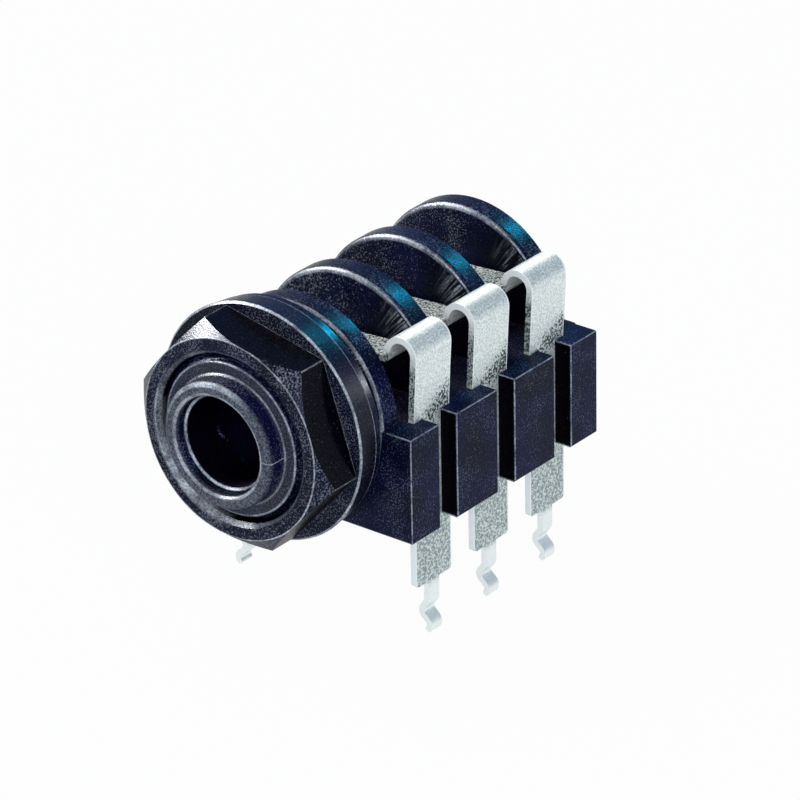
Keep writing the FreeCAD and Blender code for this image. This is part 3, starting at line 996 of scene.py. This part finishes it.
# %% Floor and world
FLOOR_Z = CAD_BOX[0][2]
FLOOR_HALF = 0.40
GLOW_SHARE = 0.97
PAPER = (0.8, 0.8, 0.8, 1)
WHITE = (1, 1, 1, 1)
SKY = (0.62, 0.80, 1.0, 1)
SKY_STRENGTH = 0.34


def white_floor():
    """Large sheet under the object, white to the eye with a soft shadow."""
    mesh = bpy.data.meshes.new("floor")
    turns = ((-1, -1), (1, -1), (1, 1), (-1, 1))
    corners = [(x * FLOOR_HALF, y * FLOOR_HALF, FLOOR_Z) for x, y in turns]
    mesh.from_pydata(corners, [], [(0, 1, 2, 3)])
    floor = bpy.data.objects.new("floor", mesh)
    scene.collection.objects.link(floor)
    material, tree, shader = new_material("white sheet")
    tree.nodes.remove(shader)
    matt = add(tree, "ShaderNodeBsdfDiffuse", {"Color": PAPER}).outputs[0]
    glow = add(tree, "ShaderNodeEmission", {"Color": WHITE, "Strength": 1.0}).outputs[0]
    path = add(tree, "ShaderNodeLightPath").outputs
    seen = math_node(tree, "MAXIMUM", path["Is Camera Ray"], path["Is Glossy Ray"])
    seen = math_node(tree, "MAXIMUM", seen, path["Is Transmission Ray"])
    inputs = {0: product(tree, seen, GLOW_SHARE), 1: matt, 2: glow}
    blend = add(tree, "ShaderNodeMixShader", inputs).outputs[0]
    tree.links.new(blend, tree.nodes["Material Output"].inputs["Surface"])
    mesh.materials.append(material)


def studio_world():
    """Even pale blue light from all round, white to the camera."""
    world = bpy.data.worlds.new("studio")
    scene.world = world
    world.use_nodes = True
    tree = world.node_tree
    tree.nodes.clear()
    path = add(tree, "ShaderNodeLightPath").outputs
    sky_inputs = {"Color": SKY, "Strength": SKY_STRENGTH}
    soft = add(tree, "ShaderNodeBackground", sky_inputs).outputs[0]
    plain = add(tree, "ShaderNodeBackground", {"Color": WHITE, "Strength": 1.0}).outputs[0]
    inputs = {0: path["Is Camera Ray"], 1: soft, 2: plain}
    mixed = add(tree, "ShaderNodeMixShader", inputs).outputs[0]
    add(tree, "ShaderNodeOutputWorld", {"Surface": mixed})


white_floor()
studio_world()
print("floor at", round(FLOOR_Z / MM, 2), "mm")

# %% [markdown]
# ## Lamps
#
# A soft box on the left and one at the front right light the metal and the
# plastic, and one behind draws the contacts' bends. Black plastic shows
# little but reflections, so small bright lamps are added for its gloss alone,
# as a photographer adds a strip lamp to draw an edge:
#
# - a white one at the left, for the crescents on the discs and the white
#   corner of the nut;
# - a blue, a violet and a small cyan one behind, for the tint along the rims
#   and the glint on each of them;
# - a small white one at the right, for the strokes on the flanges;
# - a small white one in front, for the edges that face the camera.
#
# Light linking keeps them off the metal, and the last soft box off the
# plastic. Lamps of one colour with a painted gradient would do the same, but
# each lamp here can be moved until its own reflection falls into place.

# %% Soft boxes
LAMP_WHITE = (1.0, 0.94, 0.86)
GLOSS_DISTANCE = 0.6


def softbox(name, towards, distance, size, radiance, colour=(1, 1, 1)):
    """Square lamp facing the origin; its power is radiance times pi times its area."""
    data = bpy.data.lights.new(name, "AREA")
    data.shape = "SQUARE"
    data.size = size
    data.energy = radiance * math.pi * size * size
    data.color = colour
    lamp = bpy.data.objects.new(name, data)
    scene.collection.objects.link(lamp)
    way = Vector(towards).normalized()
    turn = way.to_track_quat("Z", "Y").to_matrix().to_4x4()
    lamp.matrix_world = Matrix.Translation(way * distance) @ turn
    return lamp


def receivers(name, pieces):
    """Collection of the only pieces that a lamp lights."""
    made = bpy.data.collections.new(name)
    for piece in pieces:
        made.objects.link(piece)
    return made


def gloss_lamp(name, towards, size, radiance, colour):
    """Lamp that shows only as a reflection on the black plastic."""
    lamp = softbox(name, towards, GLOSS_DISTANCE, size, radiance, colour)
    lamp.visible_diffuse = False
    lamp.light_linking.receiver_collection = black_plastic


black_plastic = receivers("black plastic", (body, thread, nut, ring))
softbox("key", (-0.60, -0.25, 0.76), 0.6, 0.40, 2.6)
softbox("fill", (0.72, -0.58, 0.38), 0.8, 0.6, 4.0)
top = softbox("top", (-0.50, 0.60, 0.62), 0.7, 0.50, 2.8, (1.0, 0.96, 0.87))
top.light_linking.receiver_collection = receivers("silvered strips", contacts)
gloss_lamp("crescent_lamp", (-0.78, -0.15, 0.60), 0.33, 225.0, LAMP_WHITE)
gloss_lamp("blue_lamp", (-0.45, 0.74, 0.52), 0.50, 0.6, (0.06, 0.22, 1.0))
gloss_lamp("violet_lamp", (0.54, 0.70, 0.47), 0.30, 1.3, (0.08, 0.10, 1.0))
gloss_lamp("cyan_lamp", (0.12, 0.70, 0.71), 0.036, 1100.0, (0.0, 0.66, 1.0))
gloss_lamp("streak_lamp", (0.665, 0.70, 0.257), 0.035, 800.0, LAMP_WHITE)
gloss_lamp("front_lamp", (0.60, -0.72, 0.34), 0.10, 35.0, LAMP_WHITE)
print("lamps:", len(bpy.data.lights))

# %% Colour management
scene.view_settings.view_transform = "Standard"
